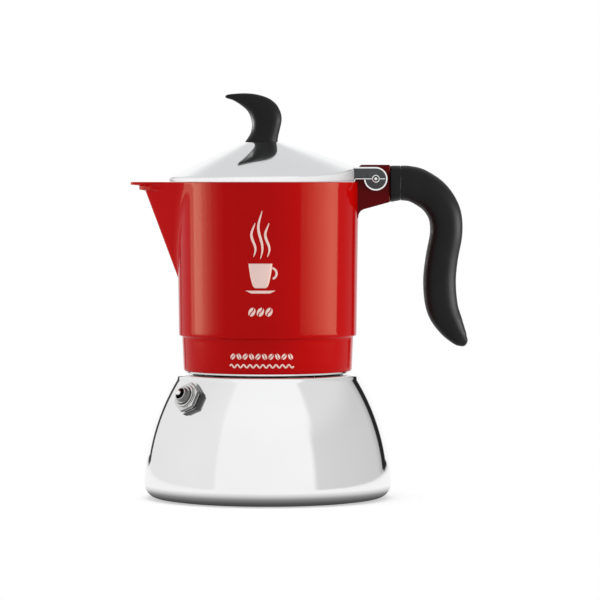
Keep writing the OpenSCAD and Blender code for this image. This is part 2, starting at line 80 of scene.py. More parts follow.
def span(node, axis):
    """Lowest and highest value of a CAD node along an axis, in millimetres."""
    low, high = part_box(node)
    return low[axis] / MM, high[axis] / MM


X, Y, Z = 0, 1, 2
BELL_R = span("boiler_shell", Y)[1]
SHELL_FOOT_Z, NECK_TOP_Z = span("boiler_shell", Z)
DISC_R, DISC_TOP_Z = span("base_disc", X)[1], span("base_disc", Z)[1]
COLLAR_Z = span("collector", Z)[0]
SPOUT_REACH = -span("collector", X)[0]
BODY_R = span("collector", Y)[1]
LID_TOP_Z = span("lid", Z)[1]
LID_R = span("lid", Y)[1]
PIN_X, _, PIN_Z = (v / MM for v in joint("lid_hinge")["pos_m"])
RIM_Z = 158.0
LID_Z = RIM_Z + 0.2
SLEEVE_X0, SLEEVE_X1 = span("handle_sleeve", X)


# ---- materials

def material(name):
    """A new material, its node tree and its Principled shader."""
    made = bpy.data.materials.new(name)
    made.use_nodes = True
    tree = made.node_tree
    return made, tree, tree.nodes["Principled BSDF"]


def add(tree, kind, feeds=None, **settings):
    """Adds a node with its own settings. feeds gives a value or a link for each named input."""
    made = tree.nodes.new(kind)
    for name, value in settings.items():
        setattr(made, name, value)
    for name, value in (feeds or {}).items():
        if isinstance(value, bpy.types.NodeSocket):
            tree.links.new(value, made.inputs[name])
        else:
            made.inputs[name].default_value = value
    return made


NOISE_LOW, NOISE_HIGH = 0.3, 0.7
FINE, MEDIUM, COARSE = 0.02 * MM, 0.03 * MM, 0.05 * MM


def noise(tree, scale, detail):
    """A noise of the place on the object, in cycles per metre, mostly from NOISE_LOW to NOISE_HIGH."""
    place = add(tree, "ShaderNodeTexCoord").outputs["Object"]
    feeds = {"Vector": place, "Scale": scale, "Detail": detail}
    return add(tree, "ShaderNodeTexNoise", feeds).outputs["Fac"]


def vary(tree, source, target, low, high):
    """Lets a noise move a socket between two values."""
    spread = add(tree, "ShaderNodeMapRange", {
        "Value": source, "From Min": NOISE_LOW, "From Max": NOISE_HIGH, "To Min": low, "To Max": high})
    tree.links.new(spread.outputs["Result"], target)


def tint(tree, source, target, dark, light):
    """Lets a noise move a colour socket between two colours."""
    colours = add(tree, "ShaderNodeValToRGB", {"Fac": source})
    low, high = colours.color_ramp.elements
    low.position, high.position = NOISE_LOW, NOISE_HIGH
    low.color, high.color = (*dark, 1), (*light, 1)
    tree.links.new(colours.outputs["Color"], target)


def bump(tree, shader, height, strength, distance):
    """A bump of a given depth in metres, from a height output."""
    bumped = add(tree, "ShaderNodeBump", {"Height": height, "Strength": strength, "Distance": distance})
    tree.links.new(bumped.outputs["Normal"], shader.inputs["Normal"])


def polished_metal(name, dark, light, rough, metallic=1.0):
    """Polished metal with faint smears in its roughness and a very fine grain."""
    made, tree, shader = material(name)
    shader.inputs["Metallic"].default_value = metallic
    vary(tree, noise(tree, 45, 4), shader.inputs["Roughness"], *rough)
    tint(tree, noise(tree, 18, 2), shader.inputs["Base Color"], dark, light)
    bump(tree, shader, noise(tree, 900, 2), 0.25, FINE)
    return made


def cast_metal(name, dark, light, rough, grain):
    """Bare cast or drawn aluminium: a fine grain in colour, roughness and bump."""
    made, tree, shader = material(name)
    shader.inputs["Metallic"].default_value = 1.0
    speckle = noise(tree, 1400, 5)
    vary(tree, speckle, shader.inputs["Roughness"], *rough)
    tint(tree, noise(tree, 60, 3), shader.inputs["Base Color"], dark, light)
    bump(tree, shader, speckle, 0.6, grain)
    return made


def enamel(name, dark, light):
    """Baked enamel: even colour with faint clouding, and orange peel in the gloss."""
    made, tree, shader = material(name)
    clouds = noise(tree, 30, 2)
    tint(tree, clouds, shader.inputs["Base Color"], dark, light)
    vary(tree, clouds, shader.inputs["Roughness"], 0.10, 0.11)
    shader.inputs["Specular IOR Level"].default_value = 0.06
    bump(tree, shader, noise(tree, 700, 2), 0.2, FINE)
    return made


def plastic(name, dark, light, rough, specular=0.5):
    """Moulded plastic or rubber with a fine sparked texture."""
    made, tree, shader = material(name)
    tint(tree, noise(tree, 90, 3), shader.inputs["Base Color"], dark, light)
    spark = noise(tree, 2600, 3)
    vary(tree, spark, shader.inputs["Roughness"], *rough)
    shader.inputs["Specular IOR Level"].default_value = specular
    bump(tree, shader, spark, 0.35, MEDIUM)
    return made


STEEL = polished_metal("mirror_steel", (0.90, 0.90, 0.905), (0.94, 0.94, 0.945), (0.02, 0.05))
THREAD_STEEL = polished_metal("thread_steel", (0.62, 0.62, 0.63), (0.72, 0.72, 0.73), (0.16, 0.28))
BASE_STEEL = cast_metal("base_steel", (0.42, 0.42, 0.42), (0.52, 0.52, 0.52), (0.3, 0.45), MEDIUM)
LID_METAL = polished_metal("polished_aluminium", (0.87, 0.88, 0.89), (0.92, 0.93, 0.94), (0.05, 0.09))
# The ear's flat is polished aluminium painted near black: painted shade in the recess inside its raised
# edge.
EAR_PAINTED_SHADE = cast_metal("ear_painted_shade", (0.045, 0.048, 0.052), (0.08, 0.083, 0.087), (0.28, 0.4),
                       MEDIUM)
EDGE_METAL = polished_metal("bright_edge", (0.86, 0.86, 0.86), (0.92, 0.92, 0.92), (0.12, 0.2))
SKIRT_METAL = polished_metal("satin_skirt", (0.93, 0.93, 0.93), (0.97, 0.97, 0.97), (0.4, 0.5), 0.35)
# The next two metals are painted dark reflection, for the steep side faces of the valve and of its boss.
VALVE_PAINTED_REFLECTION = polished_metal("nickel_painted_reflection", (0.14, 0.14, 0.14), (0.22, 0.22, 0.215), (0.22, 0.34))
PAD_PAINTED_REFLECTION = polished_metal("pad_painted_reflection", (0.05, 0.05, 0.05), (0.09, 0.09, 0.09), (0.22, 0.34))
VALVE_METAL = polished_metal("nickel", (0.68, 0.675, 0.67), (0.78, 0.775, 0.77), (0.12, 0.2))
CAST = cast_metal("bare_cast_aluminium", (0.60, 0.60, 0.61), (0.72, 0.72, 0.73), (0.38, 0.55), COARSE)
SHEET = cast_metal("drawn_aluminium", (0.70, 0.70, 0.71), (0.80, 0.80, 0.81), (0.26, 0.38), FINE)
RED = enamel("red_enamel", (0.322, 0.0006, 0.0008), (0.33, 0.0008, 0.001))
# The second red is the same enamel made darker: painted shade on the hinge lug.
SHADED_RED = enamel("red_enamel_painted_shade", (0.074, 0.0004, 0.0008), (0.088, 0.0006, 0.001))
BLACK = plastic("black_plastic", (0.0035, 0.0036, 0.0038), (0.006, 0.0061, 0.0064), (0.40, 0.48), 0.16)
SILICONE = plastic("silicone", (0.80, 0.79, 0.76), (0.86, 0.85, 0.83), (0.45, 0.55))
SEAL = plastic("valve_seal", (0.02, 0.02, 0.02), (0.03, 0.03, 0.03), (0.5, 0.6))
# Near-black metal as painted shade, inside the nozzle's bore and in the rivet heads' grooves.
HOLLOW_SHADE = polished_metal("painted_hollow_shade", (0.03, 0.03, 0.03), (0.06, 0.06, 0.06), (0.3, 0.4))
PRINT = plastic("pad_print", (0.62, 0.46, 0.44), (0.68, 0.52, 0.50), (0.4, 0.5), 0.3)


# ---- mesh tools

CREASE = 32
BEVEL_ANGLE = 30
WELD = 1e-6


def mesh_object(name, points, faces):
    """A new object in the scene, from points in millimetres."""
    mesh = bpy.data.meshes.new(name)
    mesh.from_pydata([Vector(v) * MM for v in points], [], faces)
    made = bpy.data.objects.new(name, mesh)
    bpy.context.scene.collection.objects.link(made)
    return made


def piece(name, verts, faces, body, slot, materials, face_materials=None, crease=CREASE,
          replaces=(), place=Matrix()):
    """A piece that rides on a body, from points in millimetres. place moves the points first."""
    made = mesh_object(name, [place @ Vector(v) for v in verts], faces)
    made.data.validate()
    for m in materials:
        made.data.materials.append(m)
    if face_materials:
        made.data.polygons.foreach_set("material_index", face_materials)
    tidy(made, crease)
    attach(made, body)
    if replaces:
        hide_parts(*replaces)
    return made


def tidy(made, crease=CREASE):
    """Welds points that coincide, turns the faces outward, and smooths all but the creases in degrees."""
    shape = bmesh.new()
    shape.from_mesh(made.data)
    bmesh.ops.remove_doubles(shape, verts=shape.verts, dist=WELD)
    bmesh.ops.recalc_face_normals(shape, faces=shape.faces)
    shape.to_mesh(made.data)
    shape.free()
    made.data.shade_smooth()
    made.data.set_sharp_from_angle(angle=math.radians(crease))


def evenly(low, high, steps):
    """Even steps from low to high, with both ends."""
    return [low + (high - low) * i / steps for i in range(steps + 1)]


def arc(cx, cz, r, start, end, steps):
    """Points on an arc, from start to end degrees."""
    angles = [math.radians(a) for a in evenly(start, end, steps)]
    return [(cx + r * math.cos(a), cz + r * math.sin(a)) for a in angles]


def line(a, b, steps):
    """Points from a to b, without b."""
    return list(zip(evenly(a[0], b[0], steps), evenly(a[1], b[1], steps)))[:-1]


def turned(profile, columns, radius=None, closed=True):
    """Points and faces of a profile turned about Z, and the profile row of each face.
    radius(r, z, turn, row) may bend the radius. A profile point on the axis becomes one point."""
    verts, rows = [], []
    for row, (r, z) in enumerate(profile):
        if r == 0:
            rows.append([len(verts)])
            verts.append((0, 0, z))
            continue
        ring = []
        for turn in columns:
            bent = radius(r, z, turn, row) if radius else r
            ring.append(len(verts))
            verts.append((bent * math.cos(turn), bent * math.sin(turn), z))
        rows.append(ring)
    faces, face_rows = [], []
    count = len(rows)
    for row in range(count if closed else count - 1):
        low, high = rows[row], rows[(row + 1) % count]
        if len(low) == 1 and len(high) == 1:
            continue
        for i in range(len(columns)):
            j = (i + 1) % len(columns)
            corners = low[i % len(low)], low[j % len(low)], high[j % len(high)], high[i % len(high)]
            faces.append(tuple(dict.fromkeys(corners)))
            face_rows.append(row)
    return verts, faces, face_rows


def even_turns(count):
    """Turns for the columns of a round form."""
    return evenly(0, TAU, count)[:-1]


def row_shades(profile, rows, test):
    """Material numbers of turned faces, from test(r, z, steep) halfway along each step of the profile."""
    shades = []
    for row in rows:
        (r0, z0), (r1, z1) = profile[row], profile[(row + 1) % len(profile)]
        steep = abs(z1 - z0) > abs(r1 - r0)
        shades.append(int(test((r0 + r1) / 2, (z0 + z1) / 2, steep)))
    return shades


def between(before, low, high, after, t):
    """The Catmull-Rom value a share t of the way from low to high."""
    slope = high - before
    bend = 2 * before - 5 * low + 4 * high - after
    twist = 3 * low - before - 3 * high + after
    return 0.5 * (2 * low + slope * t + bend * t * t + twist * t ** 3)


def spline(points, steps):
    """A Catmull-Rom curve through rows of numbers."""
    out = []
    last = len(points) - 1
    for i in range(last):
        near = [points[max(i - 1, 0)], points[i], points[i + 1], points[min(i + 2, last)]]
        for s in range(steps + (i == last - 1)):
            out.append([between(*values, s / steps) for values in zip(*near)])
    return out


def tube(rings, tips=()):
    """Points and faces of a closed form through rings of equal length. Each end is flat, or comes to
    a point if tips gives two."""
    sides = len(rings[0])
    last = (len(rings) - 1) * sides
    verts = [v for ring in rings for v in ring] + list(tips)
    faces = []
    for row in range(0, last, sides):
        for k in range(sides):
            n = (k + 1) % sides
            faces.append((row + k, row + n, row + sides + n, row + sides + k))
    for end, first in enumerate((0, last)):
        if tips:
            tip = last + sides + end
            faces += [(first + k, first + (k + 1) % sides, tip) for k in range(sides)]
        else:
            faces.append(tuple(range(first, first + sides)))
    return verts, faces


def superellipse(sides, power):
    """Points round a rounded oval with half axes of 1."""
    def bulged(v):
        return math.copysign(abs(v) ** (2 / power), v)

    return [(bulged(math.cos(a)), bulged(math.sin(a))) for a in even_turns(sides)]


def heading(path, i, start, blend):
    """Direction of travel at a point of a path. It turns away from start over the first blend points."""
    before, after = path[max(i - 1, 0)], path[min(i + 1, len(path) - 1)]
    own = Vector((after[0] - before[0], after[1] - before[1])).normalized()
    return Vector(start).lerp(own, min(1.0, i / blend)).normalized()


def swept(stations, steps, sides, power, start):
    """Oval sections along a path in the XZ plane. The first one is square to start.
    A station is x, z, half thickness in the plane, half width along Y."""
    path = spline(stations, steps)
    oval = superellipse(sides, power)
    rings = []
    for i, (x, z, thick, wide) in enumerate(path):
        hx, hz = heading(path, i, start, steps / 2)
        rings.append([(x + hz * u * thick, v * wide, z - hx * u * thick) for u, v in oval])
    return tube(rings)


def lofted(stations, steps, sides, power, inset):
    """Oval sections between two lines in the XZ plane, let in by inset.
    A station is x and z on one line, x and z on the other, and half the width along Y."""
    oval = superellipse(sides, power)
    rings = []
    for x0, z0, x1, z1, wide in spline(stations, steps):
        half = Vector((x1 - x0, z1 - z0)) / 2
        half *= 1 - inset / half.length
        cx, cz = (x0 + x1) / 2, (z0 + z1) / 2
        rings.append([(cx + u * half.x, v * (wide - inset), cz + u * half.y) for u, v in oval])
    return tube(rings)


def extruded(outline, y0, y1):
    """Points and faces of a closed outline in the XZ plane, drawn out along Y."""
    n = len(outline)
    verts = [(x, y0, z) for x, z in outline] + [(x, y1, z) for x, z in outline]
    faces = [tuple(range(n)), tuple(range(2 * n - 1, n - 1, -1))]
    faces += [(i, n + i, n + (i + 1) % n, (i + 1) % n) for i in range(n)]
    return verts, faces


def soften(made, width, segments=3):
    """Rounds a piece's edges by width millimetres where they turn by more than BEVEL_ANGLE degrees."""
    bevel = made.modifiers.new("bevel", "BEVEL")
    bevel.width = width * MM
    bevel.segments = segments
    bevel.limit_method = "ANGLE"
    bevel.angle_limit = math.radians(BEVEL_ANGLE)
    bevel.harden_normals = True


def cut(made, verts, faces, crease=CREASE):
    """Cuts a closed form, in millimetres, out of a piece. The piece's modifiers are applied first."""
    tool = mesh_object("cutter", verts, faces)
    tidy(tool)
    boolean = made.modifiers.new("cut", "BOOLEAN")
    boolean.object = tool
    boolean.operation = "DIFFERENCE"
    boolean.solver = "EXACT"
    bpy.context.view_layer.update()
    solid = made.evaluated_get(bpy.context.evaluated_depsgraph_get())
    made.data = bpy.data.meshes.new_from_object(solid)
    made.modifiers.clear()
    bpy.data.objects.remove(tool)
    tidy(made, crease)


# ---- boiler

BELL_ARC_R = 110
BELL_ARC_Z = 4
BELL_ARC_X = BELL_R + 0.05 - BELL_ARC_R
ROLL_R = 7
ROLL_Z = SHELL_FOOT_Z + ROLL_R
SHOULDER_Z = 62.2
SHOULDER_R = 1.5
BELL_TOP_Z = SHOULDER_Z - 1.6
SHELL_WALL = 1.0
RECESS_R = DISC_R + 0.15
NECK_BORE_R = 34.8
NECK_ROOT_R = 35.9
NECK_FILLET_R = 0.8
NECK_LIP_R = 0.35
THREAD_PITCH = 3.0
THREAD_DEPTH = 1.0
THREAD_LOW_Z, THREAD_HIGH_Z = 64.0, 72.6
THREAD_MARGIN = 0.4


def bell_radius(z):
    """Outer radius of the bell at a height."""
    return BELL_ARC_X + math.sqrt(BELL_ARC_R ** 2 - (z - BELL_ARC_Z) ** 2)


def thread(z, turn, low, high):
    """Height of a screw thread's ridge, 0 to 1, fading out at both ends."""
    flat_half, flank, fade = 0.18, 0.22, 0.8
    phase = ((z - low) / THREAD_PITCH - turn / TAU) % 1.0
    crest = min(1.0, max(0.0, (flat_half + flank - abs(phase - 0.5)) / flank))
    end = min(1.0, max(0.0, (z - low) / fade), max(0.0, (high - z) / fade))
    return crest * end


def bell_outside():
    """Profile from the recess of the base disc, round the rolled foot and up the bell to the neck."""
    profile = [(RECESS_R, SHELL_FOOT_Z + 0.25), (RECESS_R + 0.25, SHELL_FOOT_Z)]
    profile += arc(BELL_R - ROLL_R, ROLL_Z, ROLL_R, -90, -2, 22)
    profile += [(bell_radius(z), z) for z in evenly(ROLL_Z + 0.6, BELL_TOP_Z, 60)]
    profile += arc(bell_radius(BELL_TOP_Z) - SHOULDER_R, SHOULDER_Z - SHOULDER_R, SHOULDER_R, 22, 90, 8)
    profile += arc(NECK_ROOT_R + NECK_FILLET_R, SHOULDER_Z + NECK_FILLET_R, NECK_FILLET_R, 270, 180, 5)
    return profile


def neck_lip():
    """Profile of the neck's rounded top."""
    profile = arc(NECK_ROOT_R - NECK_LIP_R, NECK_TOP_Z - NECK_LIP_R, NECK_LIP_R, 0, 90, 4)
    profile += arc(NECK_BORE_R + NECK_LIP_R, NECK_TOP_Z - NECK_LIP_R, NECK_LIP_R, 90, 180, 4)
    return profile


def bell_inside():
    """Profile down the inside of the neck and the bell, and back along the bottom."""
    floor_z = DISC_TOP_Z + SHELL_WALL
    roll_r = ROLL_R - SHELL_WALL
    profile = [(NECK_BORE_R, NECK_TOP_Z - 3)]
    profile += arc(NECK_BORE_R + 1, SHOULDER_Z - 0.2, 1.0, 180, 270, 4)
    profile += [(bell_radius(BELL_TOP_Z) - 3, SHOULDER_Z - SHELL_WALL - 0.2)]
    profile += [(bell_radius(z) - SHELL_WALL, z) for z in evenly(BELL_TOP_Z - 0.8, 11.6, 30)]
    profile += arc(BELL_R - ROLL_R - 0.1, floor_z + roll_r, roll_r, 0, -90, 10)
    profile += [(0, floor_z), (0, DISC_TOP_Z), (RECESS_R, DISC_TOP_Z)]
    return profile


def boiler():
    """The drawn steel bell, with a true screw thread on its neck."""
    bell = bell_outside()
    levels = evenly(THREAD_LOW_Z - THREAD_MARGIN, THREAD_HIGH_Z + THREAD_MARGIN, 60)
    neck = [(NECK_ROOT_R, z) for z in levels]
    first_row, end_row = len(bell), len(bell) + len(neck)

    def radius(r, z, turn, row):
        if first_row <= row < end_row:
            return r + THREAD_DEPTH * thread(z, turn, THREAD_LOW_Z, THREAD_HIGH_Z)
        return r

    verts, faces, rows = turned(bell + neck + neck_lip() + bell_inside(), even_turns(256), radius)
    dull = [int(row >= first_row - 2) for row in rows]
    piece("boiler", verts, faces, "boiler", "polished_steel", [STEEL, THREAD_STEEL], dull,
          replaces=["boiler_shell"])


# ---- collector

BODY_LOW_R = 44.4
STEP_Z = 81.2
COLLAR_BEVEL = 1.2
BARE_FOOT_ROWS = 4
CASTING_WALL = 2.8
RIM_EDGE_R = 0.4
SOCKET_R = 37.2
SOCKET_LOW_Z, SOCKET_HIGH_Z = 64.2, 73.8
SOCKET_THREAD_DEPTH = 0.75
SOCKET_THREAD_MARGIN = 0.1
SPOUT_FOOT_Z = 110
SPOUT_TIP = 61.2
SPOUT_WALL = 2.2
SPOUT_HALF = math.radians(42)
SPOUT_SPREAD = math.radians(58)
SPOUT_NOSE = 0.02
SPOUT_CLEAR = 0.02
FILLET, FILLET_GROWTH = 0.3, 2.2
BAND_Z, BAND_REACH = 153.8, 3.0
BEAK_Z, BEAK_SPREAD = 156.4, 0.2


def body_radius(z):
    """Outer radius of the round body at a height."""
    return BODY_LOW_R + (BODY_R - BODY_LOW_R) * (z - STEP_Z) / (RIM_Z - STEP_Z)


def soft_max(a, b, k):
    """The larger of two values, rounded where they are less than k apart."""
    h = max(k - abs(a - b), 0.0) / k
    return max(a, b) + h * h * k / 4


def smoothstep(low, high, value):
    """0 below low, 1 above high, and smooth between them."""
    t = min(1.0, max(0.0, (value - low) / (high - low)))
    return t * t * (3 - 2 * t)


def spout_reach(z):
    """Distance of the spout's edge from the axis at a height."""
    foot = body_radius(SPOUT_FOOT_Z)
    share = max(0.0, (z - SPOUT_FOOT_Z) / (BAND_Z - SPOUT_FOOT_Z))
    return foot + (SPOUT_TIP - foot) * share


def beak(z, off):
    """How far the pouring lip's two steps stand out, at a height and a turn from the spout's edge."""
    band = (SPOUT_TIP + BAND_REACH - spout_reach(z)) * smoothstep(BAND_Z - 0.2, BAND_Z + 0.5, z)
    lip = (SPOUT_REACH - SPOUT_TIP - BAND_REACH) * smoothstep(BEAK_Z - 0.3, BEAK_Z + 0.3, z)
    return (band + lip) * max(0.0, 1 - off / BEAK_SPREAD) ** 1.6


def spout_radius(z, turn, inset):
    """Radius of the V-shaped spout at a turn, let in by inset; 0 where there is none."""
    off = abs(turn % TAU - math.pi)
    if z < SPOUT_FOOT_Z or off > SPOUT_SPREAD:
        return 0.0
    rounding = math.sin(SPOUT_HALF + SPOUT_NOSE) / math.sin(SPOUT_HALF)
    away = math.hypot(off, SPOUT_NOSE)
    side = (spout_reach(z) * math.sin(SPOUT_HALF) - inset) * rounding / math.sin(SPOUT_HALF + away)
    return side + beak(z, away - SPOUT_NOSE) - SPOUT_CLEAR


def collector_turns():
    """Turns round the casting, closer together over the spout."""
    turns, a = [], 0.0
    while a < 359.999:
        turns.append(math.radians(a))
        a += 0.4 if 152 <= a < 208 else 2.0
    return turns


def casting_outside():
    """Profile up the outside: bare bevelled foot, collar, step, and the body to its rim."""
    bevel_z = COLLAR_Z + COLLAR_BEVEL
    profile = [(37.9, COLLAR_Z), (41.0, COLLAR_Z)]
    profile += line((41.2, COLLAR_Z + 0.05), (41.75, bevel_z), 3)
    profile += [(41.98, bevel_z + 0.1)]
    profile += line((42.06, bevel_z + 0.4), (42.75, STEP_Z - 1), 12)
    profile += arc(43.35, STEP_Z - 0.6, 0.6, 180, 90, 4)
    profile += arc(BODY_LOW_R - 0.9, STEP_Z + 0.9, 0.9, -75, 0, 6)
    levels = evenly(STEP_Z + 2, SPOUT_FOOT_Z - 1, 10)
    levels += evenly(SPOUT_FOOT_Z, BAND_Z - 0.8, 36)
    levels += evenly(BAND_Z - 0.4, RIM_Z - RIM_EDGE_R, 18)
    profile += [(body_radius(z), z) for z in levels]
    profile += arc(BODY_R - RIM_EDGE_R, RIM_Z - RIM_EDGE_R, RIM_EDGE_R, 20, 90, 4)
    return profile


def casting_inside():
    """Profile down the chamber, over its floor and the column's boss, and under them to the socket."""
    corner_r, corner_z = 4, 89
    profile = arc(BODY_R - CASTING_WALL + RIM_EDGE_R, RIM_Z - RIM_EDGE_R, RIM_EDGE_R, 90, 180, 4)
    levels = evenly(RIM_Z - 1.5, SPOUT_FOOT_Z, 40) + [104, 98, 92]
    profile += [(body_radius(z) - CASTING_WALL, z) for z in levels]
    profile += arc(body_radius(corner_z) - CASTING_WALL - corner_r, corner_z, corner_r, 0, -75, 8)
    profile += line((36, 85.4), (11, 91.3), 6)
    profile += [(11, 91.3), (9.6, 92.2), (9, 94.1), (8.6, 94.5), (6.02, 94.5), (6.02, 89.2)]
    profile += line((6.4, 88.9), (30.6, 80.4), 6)
    profile += [(30.8, 80.2), (32.98, 80.2), (32.98, 78.83), (36.3, 78.83), (36.3, 74.0)]
    return profile


def collector():
    """The cast collector, with its spout drawn out of the round body and a thread in its socket."""
    outside, inside = casting_outside(), casting_inside()
    socket = [(SOCKET_R, z) for z in evenly(SOCKET_HIGH_Z, SOCKET_LOW_Z, 50)]
    rim_row, socket_row = len(outside), len(outside) + len(inside)

    def radius(r, z, turn, row):
        if row >= socket_row:
            low, high = SOCKET_LOW_Z + SOCKET_THREAD_MARGIN, SOCKET_HIGH_Z - SOCKET_THREAD_MARGIN
            return r + SOCKET_THREAD_DEPTH * thread(z, turn, low, high)
        if z < SPOUT_FOOT_Z:
            return r
        inset = SPOUT_WALL
        if row < rim_row:
            inset = BODY_R - r if z > RIM_Z - RIM_EDGE_R else 0.0
        grown = smoothstep(SPOUT_FOOT_Z - 0.5, SPOUT_FOOT_Z + 12, z)
        return soft_max(r, spout_radius(z, turn, inset), FILLET + FILLET_GROWTH * grown)

    verts, faces, rows = turned(outside + inside + socket, collector_turns(), radius)
    finishes = [2 if row < BARE_FOOT_ROWS else int(row >= rim_row + 2) for row in rows]
    piece("collector_casting", verts, faces, "collector", "red_enamel", [RED, CAST, EDGE_METAL], finishes,
          replaces=["collector"])


LUG_TOP_Z, LUG_FOOT_Z = 166.6, 148.0
LUG_HALF_W = 7
LUG_HOLLOW_R = 10.2
PIN_BORE_R = 1.55
TANG_TOP_Z, TANG_FOOT_Z = 160.5, 151.5
TANG_END_X = 78
TANG_HALF_W = 4.5


def lug():
    """The casting's hinge lug, hollowed where the lid's ears turn and bored for the pin; its darker red is
    painted shade.
    """
    root_x = 42.5
    start = math.degrees(math.asin((LUG_TOP_Z - PIN_Z) / LUG_HOLLOW_R))
    outline = [(SLEEVE_X0, LUG_FOOT_Z), (SLEEVE_X0, LUG_TOP_Z)]
    outline += arc(PIN_X, PIN_Z, LUG_HOLLOW_R, 180 - start, 188, 8)
    outline += [(root_x, 157.5), (root_x, 138.5), (45.0, 139.5)]
    outline += arc(49.2, 140.6, 4.0, 180, 107, 6)
    made = piece("hinge_lug", *extruded(outline, -LUG_HALF_W, LUG_HALF_W), "collector", "red_enamel",
                 [SHADED_RED])
    bore = arc(PIN_X, PIN_Z, PIN_BORE_R, 0, 350, 35)
    cut(made, *extruded(bore, -LUG_HALF_W - 2, LUG_HALF_W + 2))
    soften(made, 0.7)


def tang():
    """The casting's tang, which the grip is pushed over."""
    x0, x1 = SLEEVE_X0 - 1, TANG_END_X
    outline = [(x0, TANG_FOOT_Z), (x1, TANG_FOOT_Z), (x1, TANG_TOP_Z), (x0, TANG_TOP_Z)]
    made = piece("handle_tang", *extruded(outline, -TANG_HALF_W, TANG_HALF_W), "collector",
                 "bare_aluminium", [CAST])
    soften(made, 0.4)


# ---- handle

GRIP_STATIONS = [
    (SLEEVE_X1 + 0.03, 157.5, 8.7, 9.2), (70, 157.3, 8.8, 9.3), (75.3, 155.7, 9.0, 9.4),
    (83, 150.7, 8.6, 9.3), (88.2, 142.5, 8.3, 9.1), (89.2, 132.5, 8.1, 8.9), (87, 120, 8.1, 8.9),
    (85.9, 108, 8.2, 8.9), (87.2, 95.5, 8.0, 8.5), (91.3, 86.7, 6.7, 7.3), (95.6, 80.4, 4.5, 5.1),
    (97.85, 77.9, 2.8, 3.2), (98.7, 76.95, 1.7, 1.95), (99.1, 76.55, 0.5, 0.6),
]
GRIP_CREASE = 50
SCREW_X = 72
SCREW_WELL = [(0, 140), (3.9, 140), (3.9, 150.1), (2.1, 150.2), (2.1, 151.8), (0, 151.8)]
SLEEVE_HALF_W = 8.75
SLEEVE_TOP_Z, SLEEVE_FOOT_Z, SLEEVE_RISE = 166.2, 147.9, 1.0


def grip():
    """The S-shaped grip, with the well for its screw. Mirrors don't show it, as in the photo."""
    form = swept(GRIP_STATIONS, steps=8, sides=64, power=2.5, start=(1, 0))
    made = piece("grip", *form, "collector", "black_plastic", [BLACK], crease=GRIP_CREASE,
                 replaces=["handle_grip"])
    verts, faces, _ = turned(SCREW_WELL, even_turns(32), closed=False)
    cut(made, [(x + SCREW_X, y, z) for x, y, z in verts], faces, crease=GRIP_CREASE)
    made.visible_glossy = False


def sleeve():
    """The collar between lug and grip, a little deeper at the lug, with a groove at its far end."""
    length = SLEEVE_X1 - SLEEVE_X0
    levels = [(0.02, 0.94), (0.35, 0.985), (0.9, 1.0), (length - 0.7, 1.0), (length - 0.3, 0.98),
              (length - 0.05, 0.93)]
    oval = superellipse(64, 2.8)
    rings = []
    for along, size in levels:
        foot_z = SLEEVE_FOOT_Z + SLEEVE_RISE * along / length
        x, middle_z = SLEEVE_X0 + along, (SLEEVE_TOP_Z + foot_z) / 2
        wide, tall = SLEEVE_HALF_W * size, (SLEEVE_TOP_Z - foot_z) / 2 * size
        rings.append([(x, wide * u, middle_z + tall * v) for u, v in oval])
    piece("sleeve", *tube(rings), "collector", "black_plastic", [BLACK], crease=GRIP_CREASE,
          replaces=["handle_sleeve"])


# ---- lid

LID_CENTRE_X = sum(span("knob_washer", X)) / 2
LID_CUT_X = PIN_X - 10.6
LID_COLUMNS = 360
LID_SEAT_R = 8.5
LID_SHEET = 1.6
LID_FLAT = 6.0
LID_EDGE_R = 0.7
LID_BULGE = 0.35
CREASE_LOW_Z, CREASE_RISE, CREASE_SPREAD = 160.6, 5.2, 40
EAR_IN, EAR_OUT = 7.25, 9.75
EAR_R = 5.85
EAR_RIM = 0.75
EAR_RAISED = 0.35
KNOB_FOOT_Z = LID_TOP_Z + 0.02
KNOB_INSET = 0.08
KNOB_STATIONS = [
    (-11.3, KNOB_FOOT_Z, 5.05, KNOB_FOOT_Z, 6.5), (-9.9, 180.2, 5.3, 180.5, 6.45),
    (-8.5, 182.9, 6.1, 184, 6.4), (-7.95, 186.5, 7.0, 188.2, 6.3), (-8.4, 189.5, 6.9, 191.5, 6.15),
    (-9.3, 192, 5.9, 194.4, 6.0), (-10.6, 193.9, 4.0, 197.3, 5.7), (-12.6, 195.7, 0.3, 200.0, 5.1),
    (-15, 197.4, -5.5, 201.8, 4.1), (-17.5, 198.8, -11.5, 202.35, 3.0), (-19.9, 199.55, -18.0, 202.0, 1.8),
    (-20.9, 199.95, -20.3, 201.6, 1.2), (-21.25, 200.45, -21.15, 201.0, 0.5),
]


def crease_z(turn):
    """Height of the edge between the lid's cone and its skirt, highest on the hinge's side."""
    off = abs(math.degrees((turn + math.pi) % TAU - math.pi))
    return CREASE_LOW_Z + CREASE_RISE * math.exp(-((off / CREASE_SPREAD) ** 1.5))


def lid_ring(r, height):
    """A ring about the lid's centre, cut flat at the hinge. height is a function of the turn."""
    ring = []
    for turn in even_turns(LID_COLUMNS):
        x = min(LID_CUT_X, LID_CENTRE_X + r * math.cos(turn))
        ring.append((x, r * math.sin(turn), height(turn)))
    return ring


def lid_underside():
    """Rings of the lid's hollow, from its middle out to the flat that rests on the rim."""
    low_r, high_r = LID_SEAT_R - 1, LID_R - LID_FLAT
    low_z, high_z = LID_Z + 2.0, LID_TOP_Z - LID_SHEET
    levels = zip(evenly(low_r, high_r, 12), evenly(high_z, low_z, 12))
    return [lid_ring(r, lambda turn: z) for r, z in levels]


def lid_skirt():
    """Rings from the flat on the rim, round its edge and up the skirt."""
    low = LID_Z + 0.5
    foot = [(LID_FLAT, LID_Z + 0.02), (0.5, LID_Z + 0.02), (0.12, LID_Z + 0.15), (0.0, low)]
    rings = [lid_ring(LID_R - inset, lambda turn: z) for inset, z in foot]
    for share in evenly(0, 1, 5)[1:]:
        rings.append(lid_ring(LID_R, lambda turn: low + (crease_z(turn) - LID_EDGE_R - low) * share))
    return rings


